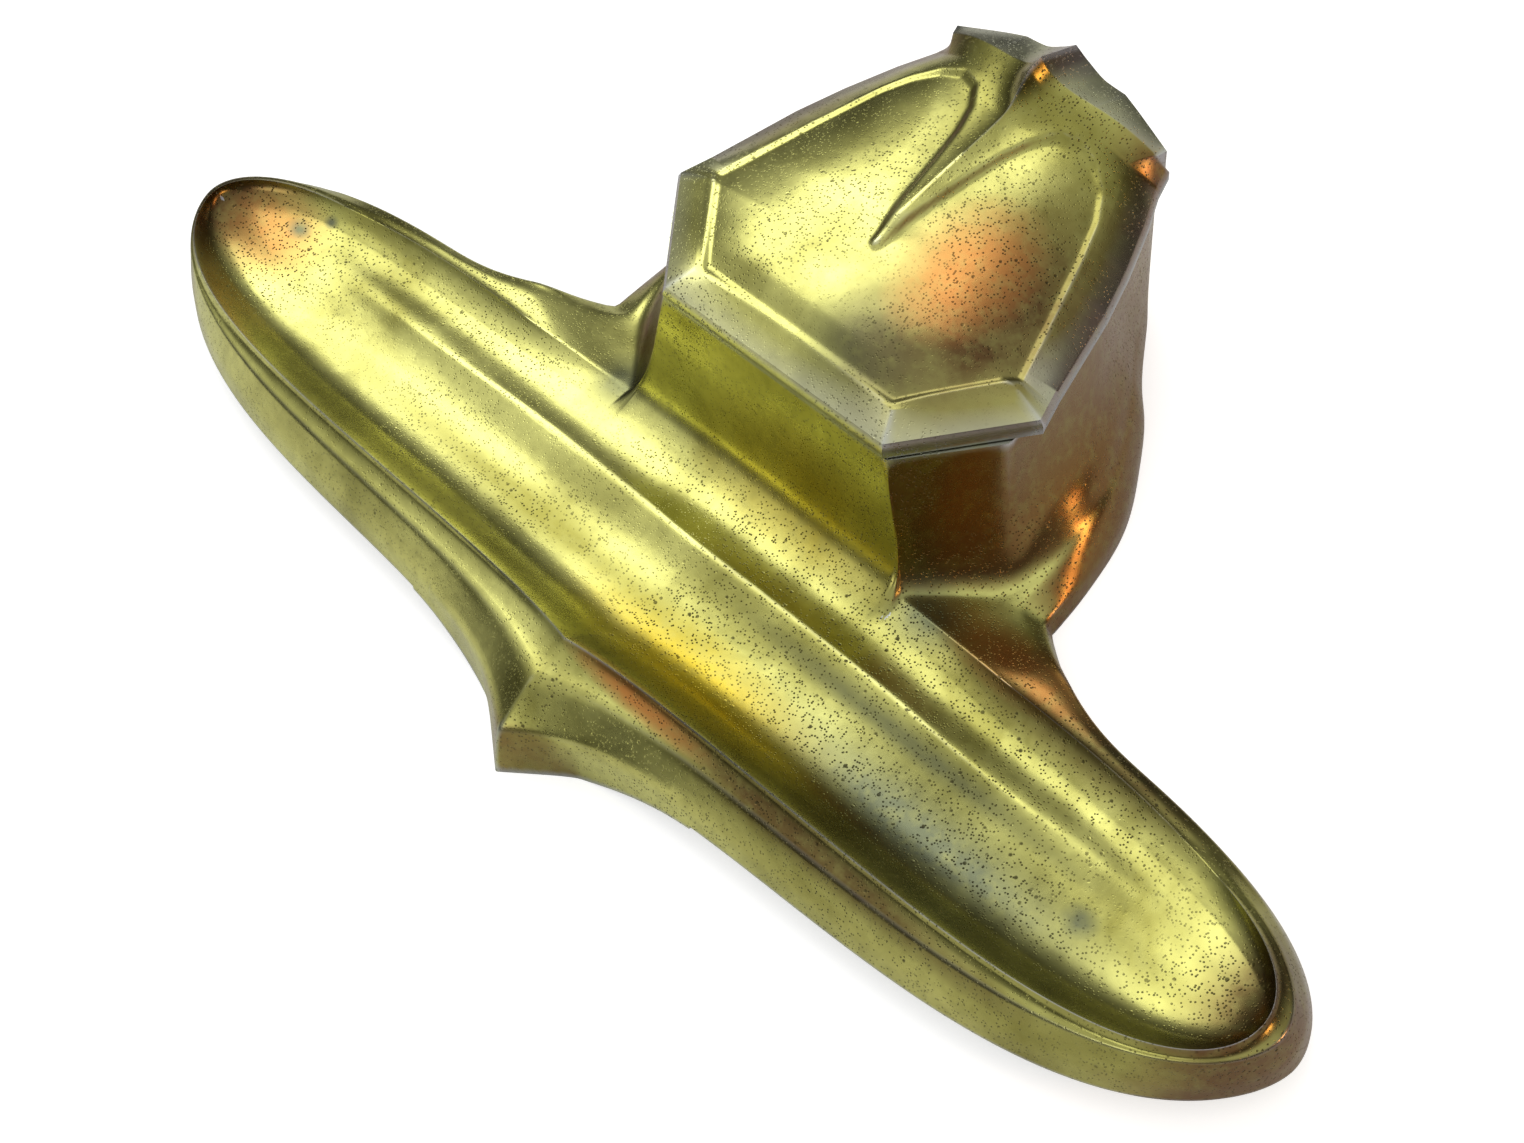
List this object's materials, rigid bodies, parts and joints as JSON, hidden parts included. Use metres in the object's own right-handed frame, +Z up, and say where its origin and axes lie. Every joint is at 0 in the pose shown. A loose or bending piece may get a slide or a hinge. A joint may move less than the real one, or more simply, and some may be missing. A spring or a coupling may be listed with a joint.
{
  "type": "desk inkstand",
  "caption": "Brass desk inkstand: a long boat-shaped pen tray with a well box behind it, a hinged faceted lid and a glass ink pot inside.",
  "frame": {"origin": "on the desk, under the middle of the bounding box; x = 0 is the plane of symmetry", "axes": "+X along the pen tray to the writer's right, -Y towards the writer, +Z up; the hinge is at the back, towards +Y"},
  "size_m": [0.2768, 0.1648, 0.0592],
  "materials": {
    "tray_body": "cast, polished and worn, dark pits",
    "well_deck": "sheet, dull",
    "ink_glass": "clear, faintly green",
    "lid": "cast, polished and worn, dark pits",
    "hinge_leaf_body": "drawn, dull",
    "hinge_leaf_lid": "drawn, dull",
    "hinge_pin": "drawn, dull",
    "body_rivet_1": "drawn, dull",
    "body_rivet_2": "drawn, dull",
    "lid_rivet": "drawn, dull"
  },
  "bodies": {
    "stand": {"tray_body": "tray_body", "well_deck": "well_deck", "ink_glass": "ink_glass", "hinge_leaf_body": "hinge_leaf_body", "hinge_pin": "hinge_pin", "body_rivet_1": "body_rivet_1", "body_rivet_2": "body_rivet_2"},
    "lid": {"lid": "lid", "hinge_leaf_lid": "hinge_leaf_lid", "lid_rivet": "lid_rivet"}
  },
  "joints": [
    {"name": "lid_hinge", "type": "hinge", "parent": "stand", "child": "lid", "pos_m": [0, 0.08055, 0.03915], "axis": [-1, 0, 0], "range_deg": [0, 105]}
  ]
}
